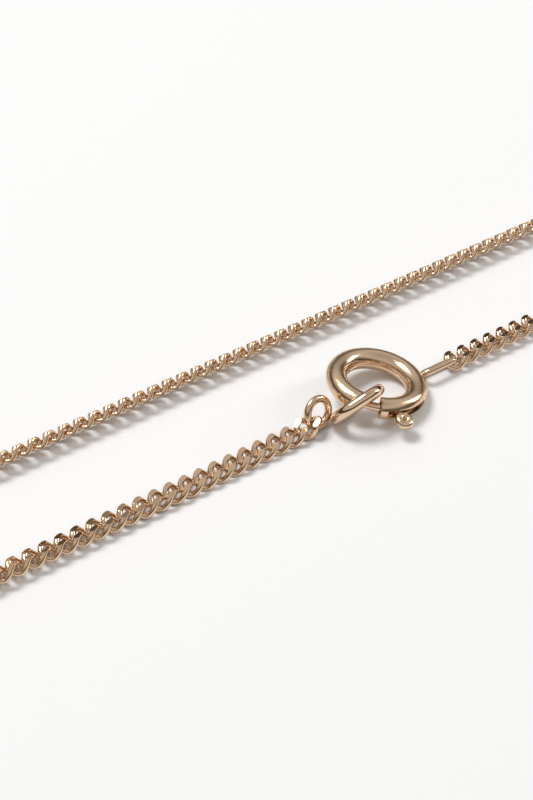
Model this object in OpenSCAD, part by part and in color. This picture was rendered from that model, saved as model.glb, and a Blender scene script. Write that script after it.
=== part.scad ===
// Chain necklace: diamond-cut curb chain closed with a bolt ring.
// Units: millimetres. Lying flat, z up, every piece resting on z = 0.

/* [Chain] */
// distance from one curb link to the next
pitch = 1.0; // [0.8:0.05:1.6]
// link wire radius
wire = 0.185; // [0.12:0.005:0.25]
// overall width of a link
width = 1.25; // [1.0:0.05:1.8]
// twist of each bow out of the flat, degrees
twist = 35; // [20:1:50]
// half length of the straight side of a link
side = 0.20; // [0.1:0.01:0.4]
// half thickness left by the diamond-cut flats
flat = 0.31; // [0.2:0.01:0.5]
// links in one run of chain
run = 16; // [8:1:20]
// runs in the chain soldered to the bolt ring
runs_right = 13; // [6:1:13]
// runs in the chain on the end ring
runs_left = 11; // [6:1:11]

/* [Bolt ring] */
// centre line radius of the case
ring_r = 2.37; // [2.0:0.01:3.5]
// radius of the case tube
tube = 0.62; // [0.5:0.01:0.9]
// radius of the bore that the bolt and spring run in
bore = 0.37; // [0.3:0.01:0.5]
// radius of the bolt wire
bolt_r = 0.25; // [0.18:0.01:0.35]
// tilt of the ring, its clasped side up, degrees
tilt = 11.5; // [0:0.5:15]

/* [Rings] */
// jump ring wire radius
jump_wire = 0.35; // [0.25:0.01:0.4]
// end ring wire radius
end_wire = 0.225; // [0.15:0.005:0.25]
// end ring centre line radius
end_r = 0.82; // [0.7:0.01:1.0]
// wire radius of the soldered eye
eye_wire = 0.20; // [0.15:0.01:0.25]

/* [Hidden] */
// direction of the three visible lengths of chain
dir_right = 35.5;
dir_left = 36.1;
dir_back = 35.2;
// distance of the back length from the ring centre
n_back = 6.78;
ring_c = [-0.02, -0.40, 1.095];
// middle of the whole necklace on the floor, measured from the clasp
middle = [-6.764, 0.044, 0];
bow_r = (width / 2 - wire) / cos(twist);
// radii of the bends in the unseen lengths
r_in = 7;
r_out = 9;
r_turn = 11;
step_right = 10;
step_left = 2;
first_right = 8;
first_left = 35;
// where the two arms meet on the back length, and half the space left there
meet = -23.5;
space = 0.55;
// start of each arm on the floor
start_right = along(dir_right, 5.443 - pitch / 2, -0.75);
start_left = along(dir_left, -5.361 + pitch / 2, -0.575);
$fn = 48;

// a point t along and n to the left of a line through the origin
function along(a, t, n) = [t * cos(a) - n * sin(a), t * sin(a) + n * cos(a)];
function arc(r, a) = PI * r * a / 180;

// the route of each arm: lengths and turns, one after another
xr = start_right[0] + first_right * cos(dir_right) + r_in * (1 + sin(dir_right));
yr = start_right[1] + first_right * sin(dir_right) - r_in * cos(dir_right) - step_right;
xr_end = xr - r_out * (1 - sin(dir_back));
yr_end = (n_back + xr_end * sin(dir_back)) / cos(dir_back);
yr_down = yr_end + r_out * cos(dir_back);
tr_end = xr_end * cos(dir_back) + yr_end * sin(dir_back) - meet - space;
fixed_right = first_right + arc(r_in, 90 + dir_right) + step_right + 2 * PI * r_turn
  + (yr - yr_down) + arc(r_out, 90 - dir_back) + tr_end;
up_right = (runs_right * run * pitch - fixed_right) / 2;
route_right = [[first_right, 0], [arc(r_in, 90 + dir_right), -90 - dir_right], [step_right, 0],
  [PI * r_turn, 180], [up_right, 0], [PI * r_turn, 180], [yr + up_right - yr_down, 0],
  [arc(r_out, 90 - dir_back), dir_back - 90], [tr_end + 1, 0]];

xl = start_left[0] - first_left * cos(dir_left) - r_out * (1 - sin(dir_left));
yl = start_left[1] - first_left * sin(dir_left) - r_out * cos(dir_left) - step_left;
xl_end = xl + r_in * (1 + sin(dir_back));
yl_end = (n_back + xl_end * sin(dir_back)) / cos(dir_back);
yl_down = yl_end + r_in * cos(dir_back);
tl_end = meet - space - xl_end * cos(dir_back) - yl_end * sin(dir_back);
fixed_left = first_left + arc(r_out, 90 - dir_left) + step_left + 2 * PI * r_turn
  + (yl - yl_down) + arc(r_in, 90 + dir_back) + tl_end;
up_left = (runs_left * run * pitch - fixed_left) / 2;
route_left = [[first_left, 0], [arc(r_out, 90 - dir_left), 90 - dir_left], [step_left, 0],
  [PI * r_turn, -180], [up_left, 0], [PI * r_turn, -180], [yl + up_left - yl_down, 0],
  [arc(r_in, 90 + dir_back), 90 + dir_back], [tl_end + 1, 0]];

// [x, y, heading] at distance s along a route from [x, y, heading]
function bend(p, len, turn, s) =
  turn == 0
  ? [p[0] + s * cos(p[2]), p[1] + s * sin(p[2]), p[2]]
  : let (r = len * 180 / PI / turn, h = p[2] + turn * s / len)
    [p[0] + r * (sin(h) - sin(p[2])), p[1] - r * (cos(h) - cos(p[2])), h];
function walk(route, p, s, i = 0) =
  s <= route[i][0] || i == len(route) - 1
  ? bend(p, route[i][0], route[i][1], s)
  : walk(route, bend(p, route[i][0], route[i][1], route[i][0]), s - route[i][0], i + 1);

// how far the edge towards the front is lifted at distance s
function ramp(s, s0, s1, v0, v1) = v0 + (v1 - v0) * min(1, max(0, (s - s0) / (s1 - s0)));
back_right = runs_right * run * pitch - tr_end;
back_left = runs_left * run * pitch - tl_end;
function roll_right(s) = s < 60
  ? -ramp(s, 0, 1.5, 9.2, 16) + ramp(s, 9, 18, 0, 16)
  : ramp(s, back_right - 10, back_right + 6, 0, 42);
function roll_left(s) = s < 80
  ? ramp(s, 8, 21, 0, 25) - ramp(s, 32, 43, 0, 25)
  : -ramp(s, back_left - 15, back_left + 1, 0, 42);
function rest(r) = flat * cos(r) + width / 2 * abs(sin(r));

// one link, long axis on x: two half bows twisted opposite ways, joined by slanted sides
module link() {
  low = [side, bow_r * cos(twist), -bow_r * sin(twist)];
  high = [-side, low[1], -low[2]];
  slope = atan2(high[2] - low[2], low[0] - high[0]);
  difference() {
    union() for (q = [0, 180]) rotate([0, 0, q]) {
      translate([side, 0, 0]) rotate([-twist, 0, 0]) rotate([0, 0, -90])
        rotate_extrude(angle = 180) translate([bow_r, 0]) circle(wire, $fn = 24);
      intersection() {
        translate(low) rotate([0, slope - 90, 0]) translate([0, 0, -2 * side])
          cylinder(h = norm(high - low) + 4 * side, r = wire + 0.002, $fn = 24);
        cube([2 * side, 4, 4], center = true);
      }
    }
    for (q = [-1, 1]) translate([0, 0, q * (flat + 0.5)]) cube([4, 4, 1], center = true);
  }
}

// a run of links, each a separate solid threaded through its neighbours
module run_right(k) {
  for (i = [0:run - 1]) {
    s = (k * run + i + 0.5) * pitch;
    p = walk(route_right, [start_right[0], start_right[1], dir_right], s);
    r = roll_right(s);
    first = k == 0 && i == 0;
    translate([p[0], p[1], first ? 0.491 : rest(r)] - middle)
      rotate([0, 0, p[2]]) rotate([0, first ? 2.3 : 0, 0]) rotate([r, 0, 0]) link();
  }
}

module run_left(k) {
  for (i = [0:run - 1]) {
    s = (k * run + i + 0.5) * pitch;
    p = walk(route_left, [start_left[0], start_left[1], dir_left + 180], s);
    r = roll_left(s);
    n = k == 0 ? i : 2;
    z = [0.564, 0.379, rest(r)];
    pitch_up = [17.8, 3.1, 0];
    lean = [-2.95, 1.5, 0];
    translate([p[0], p[1], z[min(n, 2)]] - middle)
      rotate([0, 0, p[2]]) rotate([0, pitch_up[min(n, 2)], 0])
        rotate([n < 2 ? lean[n] : r, 0, 0]) link();
  }
}

// stands the flat ring at its tilt
module tilted() {
  translate(ring_c - middle) rotate([0, 0, -163.5]) rotate([0, -tilt, 0]) rotate([0, 0, 163.5]) children();
}

// a curved rod on the ring's centre line from angle a, through sweep degrees
module rod(r, a, sweep) {
  rotate([0, 0, a]) rotate_extrude(angle = sweep, $fn = 96) translate([ring_r, 0]) circle(r, $fn = 40);
}

module bar(r, a, sweep, h, x) {
  rotate([0, 0, a]) rotate_extrude(angle = sweep, $fn = 96) translate([x, -h / 2]) square([r, h]);
}

// the tubular case, open from -118 to -88 degrees, slotted outside for the lug
module case_tube() {
  difference() {
    rod(tube, -88, 330);
    rod(bore, -92, 338);
    bar(0.5, -80, 56, 0.44, ring_r + 0.2);
    bar(0.10, -92, 338, 0.07, ring_r - tube - 0.03);
  }
}
module case() { color("#c79a6b") tilted() case_tube(); }

// plug the spring pushes against
module spring_stop() { color("#b88a5c") tilted() rod(bore - 0.005, 112, 8); }

// oval eye soldered to the outside of the case
module eye() {
  c = along(dir_right, 3.96, -0.72);
  half = 0.72;
  r = 0.47;
  color("#c79a6b") difference() {
    translate([c[0], c[1], 0.527] - middle) rotate([0, 0, dir_right]) rotate([-43.5, 0, 0])
      oval(half, r, eye_wire, 32);
    tilted() rotate_extrude($fn = 96) translate([ring_r, 0]) circle(tube + 0.006, $fn = 40);
    tilted() cylinder(h = 4, r = ring_r, center = true, $fn = 96);
  }
}

// closed oval of wire in the plane z = 0, long on x
module oval(half, r, w, n) {
  for (q = [0, 180]) rotate([0, 0, q]) {
    translate([half, 0, 0]) rotate([0, 0, -90]) rotate_extrude(angle = 180, $fn = 64)
      translate([r, 0]) circle(w, $fn = n);
    translate([-half - 0.003, r, 0]) rotate([0, 90, 0])
      cylinder(h = 2 * half + 0.006, r = w - 0.002, $fn = n);
  }
}

// the sliding bolt, its tip seated in the far end of the case
module bolt() {
  color("#c08a58") tilted() {
    rod(bolt_r, -122, 130);
    rotate([0, 0, -122]) translate([ring_r, 0, 0]) sphere(bolt_r + 0.003, $fn = 40);
  }
}

// thumb lug: a stem through the slot ending in a curled loop
module thumb_lug() {
  color("#c79a6b") tilted() rotate([0, 0, -66]) difference() {
    union() {
      translate([ring_r, 0, 0]) rotate([0, 90, 0]) cylinder(h = 0.86, r = 0.165, $fn = 24);
      translate([ring_r + 1.22, 0, 0]) rotate([0, 12, 0]) rotate_extrude($fn = 48)
        translate([0.25, 0]) circle(0.20, $fn = 24);
    }
    rotate([0, 0, -20]) rotate_extrude(angle = 40, $fn = 96) translate([ring_r, 0])
      circle(bolt_r + 0.006, $fn = 40);
  }
}

// coil spring wound along the bore between the bolt and its stop
module coil_spring() {
  turns = 15;
  n = 10;
  m = 4;
  w = 0.05;
  coil = 0.27;
  a0 = 9.5;
  a1 = 110.5;
  steps = turns * n;
  pts = [for (i = [0:steps]) let (u = i / steps, b = a0 + (a1 - a0) * u, q = 360 * turns * u,
    c = [cos(b), sin(b), 0]) for (j = [0:m - 1]) let (v = 360 * j / m, d = coil + w * cos(v))
    (ring_r + d * cos(q)) * c + [-sin(b), cos(b), 0] * w * sin(v) + [0, 0, d * sin(q)]];
  faces = concat([for (i = [0:steps - 1]) for (j = [0:m - 1])
      [i * m + j, i * m + (j + 1) % m, (i + 1) * m + (j + 1) % m, (i + 1) * m + j]],
    [[for (j = [0:m - 1]) m - 1 - j]], [[for (j = [0:m - 1]) steps * m + j]]);
  color("#9a9a98") tilted() polyhedron(pts, faces, convexity = 10);
}

// oval jump ring that hooks into the clasp
module jump_ring() {
  color("#c79a6b") translate([-1.21, -2.67, 1.395] - middle)
    multmatrix([[0.8335, 0.0313, -0.5515, 0], [0.3515, 0.7401, 0.5733, 0],
      [0.4262, -0.6717, 0.6060, 0], [0, 0, 0, 1]])
      oval(0.301, 1.152, jump_wire, 36);
}

// round end ring between the jump ring and the first link
module end_ring() {
  color("#c79a6b") translate([-3.456, -2.963, 1.008] - middle) rotate([0, 72.86, -44.39])
    rotate_extrude($fn = 72) translate([end_r, 0]) circle(end_wire, $fn = 28);
}

module chain_r01() { color("#c79a6b") run_right(0); }
module chain_r02() { color("#c79a6b") run_right(1); }
module chain_r03() { color("#c79a6b") run_right(2); }
module chain_r04() { color("#c79a6b") run_right(3); }
module chain_r05() { color("#c79a6b") run_right(4); }
module chain_r06() { color("#c79a6b") run_right(5); }
module chain_r07() { color("#c79a6b") run_right(6); }
module chain_r08() { color("#c79a6b") run_right(7); }
module chain_r09() { color("#c79a6b") run_right(8); }
module chain_r10() { color("#c79a6b") run_right(9); }
module chain_r11() { color("#c79a6b") run_right(10); }
module chain_r12() { color("#c79a6b") run_right(11); }
module chain_r13() { color("#c79a6b") run_right(12); }
module chain_l01() { color("#c79a6b") run_left(0); }
module chain_l02() { color("#c79a6b") run_left(1); }
module chain_l03() { color("#c79a6b") run_left(2); }
module chain_l04() { color("#c79a6b") run_left(3); }
module chain_l05() { color("#c79a6b") run_left(4); }
module chain_l06() { color("#c79a6b") run_left(5); }
module chain_l07() { color("#c79a6b") run_left(6); }
module chain_l08() { color("#c79a6b") run_left(7); }
module chain_l09() { color("#c79a6b") run_left(8); }
module chain_l10() { color("#c79a6b") run_left(9); }
module chain_l11() { color("#c79a6b") run_left(10); }

case();
spring_stop();
eye();
bolt();
thumb_lug();
coil_spring();
jump_ring();
end_ring();
chain_r01();
chain_r02();
chain_r03();
chain_r04();
chain_r05();
chain_r06();
chain_r07();
chain_r08();
chain_r09();
chain_r10();
chain_r11();
chain_r12();
chain_r13();
chain_l01();
chain_l02();
chain_l03();
chain_l04();
chain_l05();
chain_l06();
chain_l07();
chain_l08();
chain_l09();
chain_l10();
chain_l11();
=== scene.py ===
"""Chain necklace: a diamond-cut curb chain closed by a bolt ring, lying on a pale studio floor.

Lengths are in millimetres and angles in degrees, unless a comment says otherwise.
"""
import math

import bmesh
import bpy
from mathutils import Matrix, Vector


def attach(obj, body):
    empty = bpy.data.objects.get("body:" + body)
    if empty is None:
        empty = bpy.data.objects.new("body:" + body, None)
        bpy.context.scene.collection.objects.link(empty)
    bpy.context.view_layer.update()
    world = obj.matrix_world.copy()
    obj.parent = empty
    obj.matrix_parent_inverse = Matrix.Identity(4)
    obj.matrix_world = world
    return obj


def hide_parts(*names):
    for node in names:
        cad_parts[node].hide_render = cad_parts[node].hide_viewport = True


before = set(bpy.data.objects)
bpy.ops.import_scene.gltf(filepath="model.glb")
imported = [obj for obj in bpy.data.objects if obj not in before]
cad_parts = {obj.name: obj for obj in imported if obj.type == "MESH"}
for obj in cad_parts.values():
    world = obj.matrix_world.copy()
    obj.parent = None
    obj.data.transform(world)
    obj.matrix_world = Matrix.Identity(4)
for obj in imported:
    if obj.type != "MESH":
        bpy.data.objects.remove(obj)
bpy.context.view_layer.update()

# ---------------------------------------------------------------- sizes
# one millimetre in metres
MM = 0.001

# from one link to the next, links in a run, and runs in the arms on the eye and on the end ring
PITCH = 1.0
RUN = 16
RUNS_RIGHT, RUNS_LEFT = 13, 11

# one link: wire radius, width, half its straight side, half the thickness the diamond cut leaves
WIRE = 0.175
WIDTH = 1.45
SIDE = 0.17
FLAT = 0.36
# twist of each end in radians, and how far from the middle the twist is complete
TWIST = math.radians(38)
TWISTED = 0.45

# bolt ring: radii of its centre line, tube, bore and bolt wire
RING_R, TUBE, BORE, BOLT_R = 2.37, 0.62, 0.37, 0.25
# centre of the ring, its tilt, and the direction it tilts towards
RING_C = Vector((-0.02, -0.40, 1.095))
RING_TILT, TILT_HEADING = 11.5, 163.5
# ends of the case and of the thumb lug's slot, as angles round the ring; half the slot's width
CASE_FROM, CASE_TO = -88.0, 242.0
SLOT_FROM, SLOT_TO = -80.0, -24.0
HALF_SLOT = 0.22
# depth of the seam inside the ring, by angle round the tube
SEAM = {176.5: 0.0, 178.6: 0.05, 180: 0.08, 181.4: 0.05, 183.5: 0.0}
# how far the outer skin draws in at an open end, and one section before it
RIM = (0.03, 0.008)
# tip of the bolt and its length, as angles round the ring
BOLT_TIP, BOLT_SWEEP = -122, 130

# middle of the whole necklace on the floor
MIDDLE = Vector((-6.764, 0.044, 0))
# headings of the two arms by the clasp and of the back length, and the back length's distance
DIR_RIGHT, DIR_LEFT, DIR_BACK = 35.5, 36.1, 35.2
N_BACK = 6.78
# middle of each arm's first link, along its heading and to the left of it
START_RIGHT, START_LEFT = (5.443, -0.75), (-5.361, -0.575)
# bend radii, and the straight lengths before and after the first bend of each arm
R_IN, R_OUT, R_TURN = 7.0, 9.0, 11.0
STRAIGHT_RIGHT, STRAIGHT_LEFT = 8.0, 35.0
STEP_RIGHT, STEP_LEFT = 10.0, 2.0
# where the arms meet on the back length, and half the space between them
MEET, SPACE = -23.5, 0.55
# links that a ring holds up: height, nose-up angle, and roll where it isn't the chain's own
HELD_RIGHT = [(0.491, 2.3, None)]
HELD_LEFT = [(0.564, 17.8, -2.95), (0.379, 3.1, 1.5)]

# an edge sharper than this stays crisp
HARD_EDGE = 40


def sind(a):
    return math.sin(math.radians(a))


def cosd(a):
    return math.cos(math.radians(a))


def along(a, t, n):
    """The point t along heading a, and n to its left."""
    return t * cosd(a) - n * sind(a), t * sind(a) + n * cosd(a)


def arc(r, a):
    return r * math.radians(a)


def turned(z=0.0, y=0.0, x=0.0):
    """Rotation about x, then y, then z."""
    return (Matrix.Rotation(math.radians(z), 4, "Z") @ Matrix.Rotation(math.radians(y), 4, "Y")
            @ Matrix.Rotation(math.radians(x), 4, "X"))


def set_down(x, y, z):
    """Move from the clasp's own origin to a place on the floor round the necklace's middle."""
    return Matrix.Translation(Vector((x, y, z)) - MIDDLE)


# ---------------------------------------------------------------- the chain's route
def end_of(point, direction, first, turn_r, sign):
    """Where the first straight and the bend after it leave the chain."""
    x, y = point
    return (x + sign * (first * cosd(direction) + turn_r * (1 + sign * sind(direction))),
            y + sign * first * sind(direction) - turn_r * cosd(direction))


def route(right):
    """An arm's start and heading, its stretches as (length, turn), and where its back length begins."""
    if right:
        start = along(DIR_RIGHT, START_RIGHT[0] - PITCH / 2, START_RIGHT[1])
        direction, sign, first, step = DIR_RIGHT, 1, STRAIGHT_RIGHT, STEP_RIGHT
        near_r, far_r, runs = R_IN, R_OUT, RUNS_RIGHT
    else:
        start = along(DIR_LEFT, START_LEFT[0] + PITCH / 2, START_LEFT[1])
        direction, sign, first, step = DIR_LEFT, -1, STRAIGHT_LEFT, STEP_LEFT
        near_r, far_r, runs = R_OUT, R_IN, RUNS_LEFT
    x, y = end_of(start, direction, first, near_r, sign)
    y -= step
    x_end = x - sign * far_r * (1 - sign * sind(DIR_BACK))
    y_end = (N_BACK + x_end * sind(DIR_BACK)) / cosd(DIR_BACK)
    y_down = y_end + far_r * cosd(DIR_BACK)
    last = sign * (x_end * cosd(DIR_BACK) + y_end * sind(DIR_BACK) - MEET) - SPACE
    near_turn, far_turn = 90 + sign * direction, 90 - sign * DIR_BACK
    fixed = (first + arc(near_r, near_turn) + step + 2 * math.pi * R_TURN + y - y_down
             + arc(far_r, far_turn) + last)
    up = (runs * RUN * PITCH - fixed) / 2
    pieces = [(first, 0), (arc(near_r, near_turn), -sign * near_turn), (step, 0),
              (math.pi * R_TURN, 180 * sign), (up, 0), (math.pi * R_TURN, 180 * sign),
              (y + up - y_down, 0), (arc(far_r, far_turn), -sign * far_turn), (last + 1, 0)]
    heading = direction if right else direction + 180
    return (start[0], start[1], heading), pieces, runs * RUN * PITCH - last


def bend(p, length, turn, s):
    """Place and heading at distance s along one stretch from p."""
    if turn == 0:
        return p[0] + s * cosd(p[2]), p[1] + s * sind(p[2]), p[2]
    r = length / math.radians(turn)
    h = p[2] + turn * s / length
    return p[0] + r * (sind(h) - sind(p[2])), p[1] - r * (cosd(h) - cosd(p[2])), h


def walk(p, pieces, s):
    """Place and heading at distance s along a route from p."""
    for i, (length, turn) in enumerate(pieces):
        if s <= length or i == len(pieces) - 1:
            return bend(p, length, turn, s)
        p = bend(p, length, turn, length)
        s -= length


def ramp(s, s0, s1, v0, v1):
    return v0 + (v1 - v0) * min(1, max(0, (s - s0) / (s1 - s0)))


def rolls(right, back):
    """Ramps that add up to an arm's roll about its length; the last leads into the back length."""
    if right:
        return [(0, 1.5, -9.2, -16), (9, 18, 0, 16), (back - 10, back + 6, 0, 42)]
    return [(8, 21, 0, 25), (32, 43, 0, -25), (back - 15, back + 1, 0, -42)]


def rest_height(roll):
    return FLAT * cosd(roll) + WIDTH / 2 * abs(sind(roll))


def link_places(right):
    """Placement of every link of an arm, in order from the clasp."""
    start, pieces, back = route(right)
    ramps = rolls(right, back)
    runs, held = (RUNS_RIGHT, HELD_RIGHT) if right else (RUNS_LEFT, HELD_LEFT)
    places = []
    for i in range(runs * RUN):
        s = (i + 0.5) * PITCH
        x, y, heading = walk(start, pieces, s)
        roll = sum(ramp(s, *r) for r in ramps)
        z, nose = rest_height(roll), 0.0
        if i < len(held):
            z, nose, own_roll = held[i]
            roll = roll if own_roll is None else own_roll
        places.append(set_down(x, y, z) @ turned(heading, nose) @ turned(0, 0, roll))
    return places


# ---------------------------------------------------------------- mesh helpers
def finish_mesh(name, bm, body, replaced, material):
    """Makes a piece from a bmesh in millimetres and gives it to a body."""
    bm.normal_update()
    for v in bm.verts:
        v.co *= MM
    mesh = bpy.data.meshes.new(name)
    bm.to_mesh(mesh)
    bm.free()
    piece = bpy.data.objects.new(name, mesh)
    bpy.context.scene.collection.objects.link(piece)
    mesh.materials.append(material)
    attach(piece, body)
    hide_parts(*replaced)
    return piece


def crisp_edges(bm):
    """Shades round parts smooth and keeps rims crisp."""
    bm.normal_update()
    for f in bm.faces:
        f.smooth = True
    for e in bm.edges:
        if len(e.link_faces) == 2 and e.calc_face_angle(0) > math.radians(HARD_EDGE):
            e.smooth = False


def sweep(bm, points, radius, sides, closed):
    """A round wire along a list of points; radius is a number or a list."""
    n = len(points)
    radii = radius if isinstance(radius, list) else [radius] * n
    tangents = []
    for i in range(n):
        a = points[(i - 1) % n] if closed or i > 0 else points[i]
        b = points[(i + 1) % n] if closed or i < n - 1 else points[i]
        tangents.append((b - a).normalized())
    frames = [tangents[0].orthogonal().normalized()]
    for i in range(1, n):
        turn = tangents[i - 1].rotation_difference(tangents[i])
        frames.append((turn @ frames[-1]).normalized())
    # a closed wire is turned a little more at each ring, so that its last ring meets the first
    drift = 0.0
    if closed:
        last = tangents[-1].rotation_difference(tangents[0]) @ frames[-1]
        drift = math.atan2(last.cross(frames[0]).dot(tangents[0]), last.dot(frames[0]))
    rings = []
    for i in range(n):
        f = frames[i]
        g = tangents[i].cross(f)
        ring = []
        for j in range(sides):
            a = 2 * math.pi * j / sides + drift * i / n
            ring.append(bm.verts.new(points[i] + (f * math.cos(a) + g * math.sin(a)) * radii[i]))
        rings.append(ring)
    for i in range(n if closed else n - 1):
        a, b = rings[i], rings[(i + 1) % n]
        for j in range(sides):
            k = (j + 1) % sides
            bm.faces.new((a[j], a[k], b[k], b[j])).smooth = True
    if not closed:
        bm.faces.new(list(reversed(rings[0])))
        bm.faces.new(rings[-1])


def even(points, count):
    """A closed line resampled to equal steps."""
    n = len(points)
    steps = [(points[(i + 1) % n] - points[i]).length for i in range(n)]
    total = sum(steps)
    out, i, gone = [], 0, 0.0
    for k in range(count):
        want = total * k / count
        while gone + steps[i] < want:
            gone += steps[i]
            i += 1
        out.append(points[i].lerp(points[(i + 1) % n], (want - gone) / steps[i]))
    return out


def circle_line(r, steps, centre=0.0):
    """Centre line of a round ring in the plane z = 0, its middle on the x axis."""
    angles = [360 * i / steps for i in range(steps)]
    return [Vector((centre + r * cosd(a), r * sind(a), 0)) for a in angles]


def oval_line(half, r, steps=96):
    """Centre line of an oval ring: two half circles of radius r and two sides of 2 * half, along x."""
    line = []
    for way in (1, -1):
        for i in range(41):
            a = -90 + 180 * i / 40
            line.append(Vector((way * (half + r * cosd(a)), way * r * sind(a), 0)))
        near, far = Vector((way * half, way * r, 0)), Vector((-way * half, way * r, 0))
        line += [near.lerp(far, i / 12) for i in range(1, 12)]
    return even(line, steps)


# ---------------------------------------------------------------- materials
def noise(nodes, scale, detail):
    """A noise texture; its scale is in cycles per metre."""
    node = nodes.new("ShaderNodeTexNoise")
    node.inputs["Scale"].default_value = scale
    node.inputs["Detail"].default_value = detail
    return node


def metal(name, colour, rough, scratch, tone):
    """Polished metal: its colour drifts towards tone, its gloss is patchy and it has fine scratches."""
    mat = bpy.data.materials.new(name)
    mat.use_nodes = True
    nodes, links = mat.node_tree.nodes, mat.node_tree.links
    shader = nodes["Principled BSDF"]
    shader.inputs["Metallic"].default_value = 1.0
    coords = nodes.new("ShaderNodeTexCoord")

    drift = noise(nodes, 900, 3)
    mix = nodes.new("ShaderNodeMix")
    mix.data_type = "RGBA"
    mix.inputs["A"].default_value = (*colour, 1)
    mix.inputs["B"].default_value = (*[c * t for c, t in zip(colour, tone)], 1)
    links.new(coords.outputs["Object"], drift.inputs["Vector"])
    links.new(drift.outputs["Fac"], mix.inputs["Factor"])
    links.new(mix.outputs["Result"], shader.inputs["Base Color"])

    gloss = noise(nodes, 2600, 6)
    level = nodes.new("ShaderNodeMapRange")
    level.inputs["From Min"].default_value = 0.3
    level.inputs["From Max"].default_value = 0.7
    level.inputs["To Min"].default_value = rough * 0.75
    level.inputs["To Max"].default_value = rough * 1.35
    links.new(coords.outputs["Object"], gloss.inputs["Vector"])
    links.new(gloss.outputs["Fac"], level.inputs["Value"])
    links.new(level.outputs["Result"], shader.inputs["Roughness"])

    stretch = nodes.new("ShaderNodeMapping")
    stretch.inputs["Scale"].default_value = (1.0, 6.0, 2.5)
    hair = noise(nodes, 5200, 5)
    bump = nodes.new("ShaderNodeBump")
    bump.inputs["Strength"].default_value = scratch
    bump.inputs["Distance"].default_value = 0.00002
    links.new(coords.outputs["Object"], stretch.inputs["Vector"])
    links.new(stretch.outputs["Vector"], hair.inputs["Vector"])
    links.new(hair.outputs["Fac"], bump.inputs["Height"])
    links.new(bump.outputs["Normal"], shader.inputs["Normal"])
    return mat


GOLD = (0.78, 0.575, 0.405)
STEEL = (0.56, 0.55, 0.53)
gold_ring = metal("gold_ring", GOLD, 0.20, 0.25, (0.94, 0.91, 0.86))
gold_chain = metal("gold_chain", GOLD, 0.16, 0.15, (0.93, 0.88, 0.82))
gold_bright = metal("gold_bright", GOLD, 0.10, 0.10, (0.97, 0.95, 0.92))
spring_wire = metal("spring_wire", STEEL, 0.28, 0.2, (0.9, 0.9, 0.9))


# ---------------------------------------------------------------- chain links
def link_line():
    """Centre line of one link: an oval of wire twisted about its length."""
    line = []
    for p in oval_line(SIDE, WIDTH / 2 - WIRE):
        twist = TWIST * math.sin(math.pi / 2 * max(-1.0, min(1.0, p.x / TWISTED)))
        line.append(Vector((p.x, p.y * math.cos(twist), -p.y * math.sin(twist))))
    return line


def link_mesh():
    """One link as a bmesh, its top and bottom cut flat."""
    bm = bmesh.new()
    sweep(bm, link_line(), WIRE, 20, closed=True)
    for way in (1, -1):
        geom = bm.verts[:] + bm.edges[:] + bm.faces[:]
        cut = bmesh.ops.bisect_plane(bm, geom=geom, plane_co=(0, 0, way * FLAT),
                                     plane_no=(0, 0, way), clear_outer=True)
        rim = [e for e in cut["geom_cut"] if isinstance(e, bmesh.types.BMEdge)]
        for e in rim:
            e.smooth = False
        made = bmesh.ops.holes_fill(bm, edges=rim, sides=0)
        for f in made["faces"]:
            f.smooth = False
    return bm


def make_chain():
    """Both arms: one piece for each run of links."""
    pattern = link_mesh()
    pattern.verts.index_update()
    coords = [v.co.copy() for v in pattern.verts]
    faces = [([v.index for v in f.verts], f.smooth) for f in pattern.faces]
    sharp = [tuple(v.index for v in e.verts) for e in pattern.edges if not e.smooth]
    pattern.free()
    for right, letter, runs in ((True, "r", RUNS_RIGHT), (False, "l", RUNS_LEFT)):
        places = link_places(right)
        for k in range(runs):
            node = f"chain_{letter}{k + 1:02d}"
            bm = bmesh.new()
            for place in places[k * RUN:(k + 1) * RUN]:
                made = [bm.verts.new(place @ co) for co in coords]
                for ids, smooth in faces:
                    bm.faces.new([made[i] for i in ids]).smooth = smooth
                for a, b in sharp:
                    bm.edges.get((made[a], made[b])).smooth = False
            finish_mesh(f"links_{letter}{k + 1:02d}", bm, node, [node], gold_chain)


# ---------------------------------------------------------------- the clasp
TILT = turned(-TILT_HEADING) @ turned(0, -RING_TILT) @ turned(TILT_HEADING)
ON_RING = set_down(*RING_C) @ TILT


def ring_point(angle, radius=RING_R, height=0.0):
    return ON_RING @ Vector((radius * cosd(angle), radius * sind(angle), height))


def from_ring_line(p):
    """Distance of a point from the centre line of the bolt ring."""
    q = ON_RING.inverted() @ p
    return math.hypot(math.hypot(q.x, q.y) - RING_R, q.z)


def tube_point(angle, around, radius):
    return ring_point(angle, RING_R + radius * cosd(around), radius * sind(around))


def case_stations():
    """Angles round the ring of the case's sections, close together at the rims and in the slot."""
    rim, edge, before_slot = 0.35, 1.2, -84.5
    slot_steps, steps = 28, 130
    stations = [CASE_FROM, CASE_FROM + rim, CASE_FROM + edge, before_slot, SLOT_FROM]
    stations += [SLOT_FROM + (SLOT_TO - SLOT_FROM) * i / slot_steps for i in range(1, slot_steps + 1)]
    stations += [SLOT_TO + (CASE_TO - edge - SLOT_TO) * i / steps for i in range(1, steps + 1)]
    return stations + [CASE_TO - rim, CASE_TO]


def case_section(radius):
    """Angles round the tube, over the seam from one edge of the slot to the other, then across it.

    The second result is how many of them come before the slot.
    """
    edge = math.degrees(math.asin(HALF_SLOT / radius))
    beside_seam, steps, slot_steps = 174, 22, 6
    lower = [edge + (beside_seam - edge) * i / steps for i in range(steps + 1)]
    upper = [360 - a for a in reversed(lower)]
    solid = lower + sorted(SEAM) + upper
    across = [360 - edge + 2 * edge * i / slot_steps for i in range(1, slot_steps)]
    return solid + across, len(solid)


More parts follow.
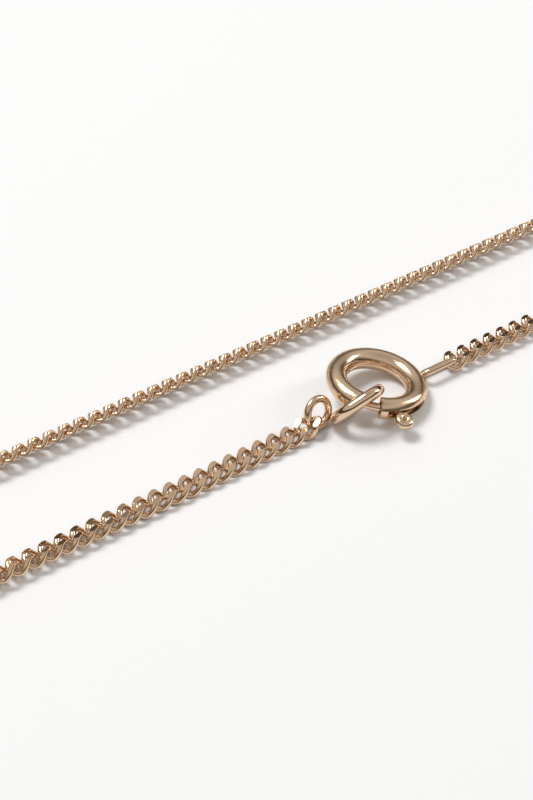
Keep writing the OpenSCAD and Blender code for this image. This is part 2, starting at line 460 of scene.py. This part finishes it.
def case_skin(bm, stations, radius, outer):
    """One skin of the case, a row of vertices for each section; the outer has the seam and rims."""
    angles, _ = case_section(radius)
    skin = []
    for i, station in enumerate(stations):
        from_end = min(i, len(stations) - 1 - i)
        at_end = RIM[from_end] if outer and from_end < len(RIM) else 0.0
        row = []
        for a in angles:
            seam = SEAM.get(a, 0.0) if outer else 0.0
            row.append(bm.verts.new(tube_point(station, a, radius - at_end - seam)))
        skin.append(row)
    return skin


def make_case():
    """The hollow case: outer skin, bore, seam inside the ring, lug slot outside, open ends."""
    stations = case_stations()
    last = len(stations) - 1
    bm = bmesh.new()
    outer = case_skin(bm, stations, TUBE, outer=True)
    inner = case_skin(bm, stations, BORE, outer=False)
    angles, slot_edge = case_section(TUBE)
    count = len(angles)
    slot_first = stations.index(SLOT_FROM)
    slot_last = stations.index(SLOT_TO)
    for skin in (outer, inner):
        for i in range(last):
            in_slot = slot_first <= i < slot_last
            for j in range(slot_edge - 1 if in_slot else count):
                k = (j + 1) % count
                quad = [skin[i][j], skin[i][k], skin[i + 1][k], skin[i + 1][j]]
                bm.faces.new(quad if skin is inner else quad[::-1])
    # the long walls of the slot, its short walls, and the rims of the open ends
    for i in range(slot_first, slot_last):
        for j in (slot_edge - 1, 0):
            bm.faces.new([outer[i][j], inner[i][j], inner[i + 1][j], outer[i + 1][j]])
    walls = [(slot_first, slot_edge - 1), (slot_last, slot_edge - 1), (0, 0), (last, 0)]
    for i, first in walls:
        for j in range(first, count):
            k = (j + 1) % count
            bm.faces.new([outer[i][j], outer[i][k], inner[i][k], inner[i][j]])
    bmesh.ops.recalc_face_normals(bm, faces=bm.faces[:])
    crisp_edges(bm)
    finish_mesh("bolt_ring_case", bm, "clasp", ["case"], gold_ring)


def make_bolt():
    """The curved bolt wire with a rounded tip."""
    tip_steps, steps, least = 8, 90, 0.004
    line, radii = [], []
    for i in range(tip_steps + 1):
        a = 90 * i / tip_steps
        line.append(ring_point(BOLT_TIP - math.degrees(BOLT_R * cosd(a) / RING_R)))
        radii.append(max(BOLT_R * sind(a), least))
    for i in range(1, steps + 1):
        line.append(ring_point(BOLT_TIP + BOLT_SWEEP * i / steps))
        radii.append(BOLT_R)
    bm = bmesh.new()
    sweep(bm, line, radii, 32, closed=False)
    finish_mesh("bolt_wire", bm, "bolt", ["bolt"], gold_bright)


def make_lug():
    """Thumb lug: a stem that comes out through the slot and ends in a small curled loop."""
    at, lean = -66, 12
    wire, loop, stem = 0.25, 0.31, 0.165
    centre = RING_R + 1.22
    place = ON_RING @ turned(at)
    leaning = Matrix.Translation((centre, 0, 0)) @ turned(0, lean) @ Matrix.Translation((-centre, 0, 0))
    # the stem starts clear of the bolt and ends inside the loop's wire
    clear, into_loop, steps = 0.02, 0.44, 9
    start, length = RING_R + BOLT_R + clear, centre - into_loop - RING_R - BOLT_R
    line = [place @ Vector((start + length * i / steps, 0, 0)) for i in range(steps + 1)]
    bm = bmesh.new()
    sweep(bm, line, stem, 24, closed=False)
    sweep(bm, [place @ leaning @ p for p in circle_line(loop, 48, centre)], wire, 24, closed=True)
    crisp_edges(bm)
    finish_mesh("thumb_lug_curl", bm, "bolt", ["thumb_lug"], gold_ring)


def make_eye():
    """Oval eye soldered to the outside of the case: its wire swells where the solder is."""
    wire, solder, lift, roll = 0.20, 0.10, 0.527, -43.5
    solder_near, solder_reach, keep_clear = 0.5, 0.36, 0.42
    x, y = along(DIR_RIGHT, 3.96, -0.72)
    place = set_down(x, y, lift) @ turned(DIR_RIGHT) @ turned(0, 0, roll)
    line = [place @ p for p in oval_line(0.72, 0.47)]
    swell = [max(0.0, 1 - (from_ring_line(p) - solder_near) / solder_reach) for p in line]
    bm = bmesh.new()
    sweep(bm, line, [wire + solder * s ** 2 for s in swell], 28, closed=True)
    # no part of it reaches through the wall of the case
    for v in bm.verts:
        depth = from_ring_line(v.co)
        if depth < keep_clear:
            q = ON_RING.inverted() @ v.co
            foot = ring_point(math.degrees(math.atan2(q.y, q.x)))
            v.co = foot + (v.co - foot) * keep_clear / depth
    finish_mesh("soldered_eye", bm, "clasp", ["eye"], gold_ring)


def make_jump_ring():
    """The oval jump ring, hooked in the bolt ring."""
    place = set_down(-1.21, -2.67, 1.395) @ turned(22.87, -25.23, -47.94)
    bm = bmesh.new()
    sweep(bm, [place @ p for p in oval_line(0.301, 1.152, 128)], 0.35, 40, closed=True)
    finish_mesh("oval_jump_ring", bm, "jump_ring", ["jump_ring"], gold_bright)


def make_end_ring():
    """The round ring through the first link, lying beside the jump ring."""
    place = set_down(-3.456, -2.963, 1.008) @ turned(-44.39, 72.86)
    bm = bmesh.new()
    sweep(bm, [place @ p for p in circle_line(0.82, 96)], 0.225, 28, closed=True)
    finish_mesh("round_end_ring", bm, "end_ring", ["end_ring"], gold_ring)


def dress_hidden():
    """Materials of the two CAD pieces that stay, both inside the case."""
    for node, material in (("spring_stop", gold_ring), ("coil_spring", spring_wire)):
        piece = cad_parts[node]
        for s in piece.material_slots:
            s.material = material
        for polygon in piece.data.polygons:
            polygon.material_index = 0


# ---------------------------------------------------------------- studio
# colour of the tent round the table, by the sine of the height above the horizon
WALLS = [(0.0, (0.42, 0.40, 0.37)), (0.12, (0.06, 0.05, 0.035)), (0.32, (0.05, 0.045, 0.035)),
         (0.50, (0.52, 0.51, 0.48)), (0.66, (0.68, 0.67, 0.65)), (1.0, (0.42, 0.42, 0.42))]


def make_floor():
    """A pale card, its half width in metres, a hair below the links so that they don't flicker."""
    half, below = 1.2, 0.00001
    mesh = bpy.data.meshes.new("studio_floor")
    corners = [(-half, -half, 0), (half, -half, 0), (half, half, 0), (-half, half, 0)]
    mesh.from_pydata(corners, [], [(0, 1, 2, 3)])
    floor = bpy.data.objects.new("studio_floor", mesh)
    bpy.context.scene.collection.objects.link(floor)
    mat = bpy.data.materials.new("white_card")
    mat.use_nodes = True
    shader = mat.node_tree.nodes["Principled BSDF"]
    shader.inputs["Base Color"].default_value = (0.90, 0.90, 0.905, 1)
    shader.inputs["Roughness"].default_value = 0.7
    shader.inputs["Specular IOR Level"].default_value = 0.1
    mesh.materials.append(mat)
    floor.location.z = -below


def area_light(name, place, size, power):
    """A rectangular lamp that faces the necklace; place and size are in metres, power in watts."""
    light = bpy.data.lights.new(name, "AREA")
    light.shape = "RECTANGLE"
    light.size, light.size_y = size
    light.energy = power
    lamp = bpy.data.objects.new(name, light)
    bpy.context.scene.collection.objects.link(lamp)
    lamp.location = place
    lamp.rotation_euler = Vector(place).to_track_quat("Z", "Y").to_euler()


def make_tent():
    """Soft light from all round, by WALLS."""
    world = bpy.data.worlds.new("studio_world")
    bpy.context.scene.world = world
    world.use_nodes = True
    nodes, links = world.node_tree.nodes, world.node_tree.links
    coords = nodes.new("ShaderNodeTexCoord")
    split = nodes.new("ShaderNodeSeparateXYZ")
    walls = nodes.new("ShaderNodeValToRGB")
    stops = walls.color_ramp.elements
    stops[0].position, stops[0].color = WALLS[0][0], (*WALLS[0][1], 1)
    stops[1].position, stops[1].color = WALLS[-1][0], (*WALLS[-1][1], 1)
    for place, colour in WALLS[1:-1]:
        stops.new(place).color = (*colour, 1)
    links.new(coords.outputs["Generated"], split.inputs["Vector"])
    links.new(split.outputs["Z"], walls.inputs["Fac"])
    links.new(walls.outputs["Color"], nodes["Background"].inputs["Color"])
    nodes["Background"].inputs["Strength"].default_value = 1.0


def make_camera():
    """A long lens that looks 40 degrees down on the clasp."""
    camera = bpy.data.cameras.new("camera")
    camera.lens = 99.0
    camera.sensor_width = 36.0
    camera.clip_start = 0.005
    camera.clip_end = 20
    holder = bpy.data.objects.new("camera", camera)
    bpy.context.scene.collection.objects.link(holder)
    holder.location = (Vector((-6.38, -98.36, 82.0)) - MIDDLE) * MM
    holder.rotation_euler = (math.radians(50), 0, 0)
    bpy.context.scene.camera = holder


make_camera()
make_floor()
area_light("key_box", (-0.24, 0.13, 0.53), (0.22, 0.22), 2.15)
area_light("right_strip", (0.40, 0.16, 0.20), (0.06, 0.20), 0.45)
make_tent()
make_chain()
make_case()
make_bolt()
make_lug()
make_eye()
make_jump_ring()
make_end_ring()
dress_hidden()
bpy.context.scene.view_settings.view_transform = "Standard"
